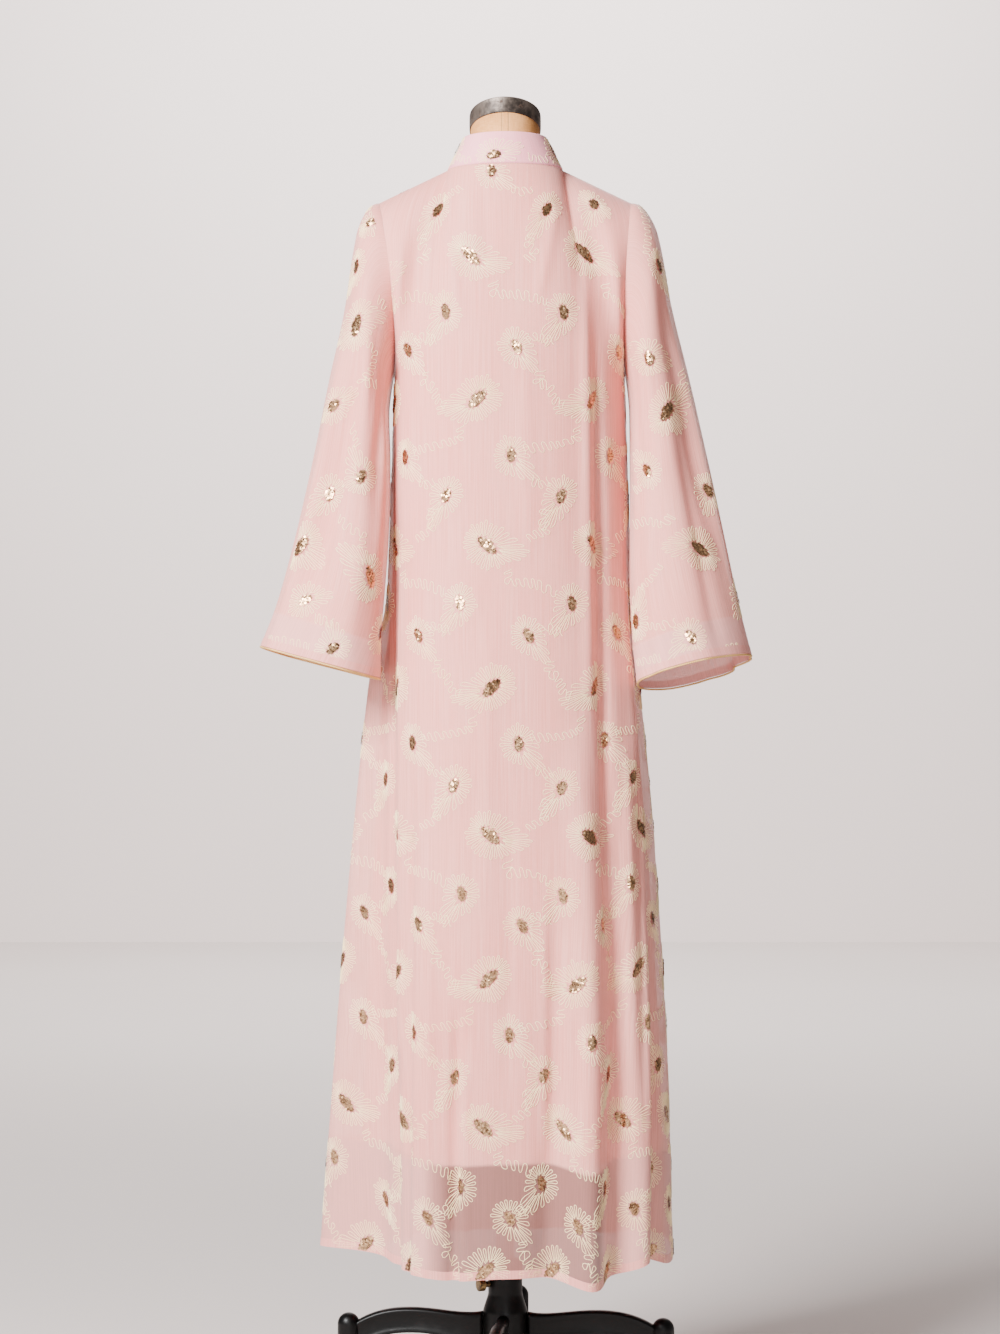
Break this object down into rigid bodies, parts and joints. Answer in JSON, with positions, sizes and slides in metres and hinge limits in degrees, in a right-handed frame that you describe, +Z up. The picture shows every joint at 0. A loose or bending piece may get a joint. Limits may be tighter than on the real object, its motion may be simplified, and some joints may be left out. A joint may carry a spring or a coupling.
{
  "type": "kaftan on a dress form",
  "caption": "Floor-length sheer kaftan with bell sleeves and a stand collar, lined, embroidered, on a limbless dress form with a cast stand.",
  "frame": {"origin": "on the floor under the axis of the stand's pole", "axes": "+Z up along the pole, the kaftan's back faces -Y, +X to the right in that view"},
  "size_m": [0.6625, 0.4622, 1.7966],
  "materials": {
    "chiffon": "sheer crinkled chiffon, matte",
    "collar": "doubled chiffon, matte",
    "lining": "plain woven lining, slight sheen",
    "gold_cord": "metallic cord",
    "linen": "plain linen over a hard form",
    "worn_zinc": "worn grey metal",
    "steel": "drawn tube",
    "black_iron": "black enamel, satin",
    "brass": "aged brass"
  },
  "bodies": {
    "root": {"back": "chiffon", "front_left": "chiffon", "front_right": "chiffon", "sleeve_left": "chiffon", "sleeve_right": "chiffon", "collar": "collar", "lining_back": "lining", "lining_front_left": "lining", "lining_front_right": "lining", "lining_sleeve_left": "lining", "lining_sleeve_right": "lining", "cuff_piping_left": "gold_cord", "cuff_piping_right": "gold_cord", "form": "linen", "neck_cap": "worn_zinc", "pole": "steel", "hub": "black_iron", "leg_right": "black_iron", "leg_front": "black_iron", "leg_left": "black_iron", "leg_back": "black_iron", "foot_right": "black_iron", "foot_front": "black_iron", "foot_left": "black_iron", "foot_back": "black_iron", "thumb_screw": "brass"}
  },
  "joints": []
}
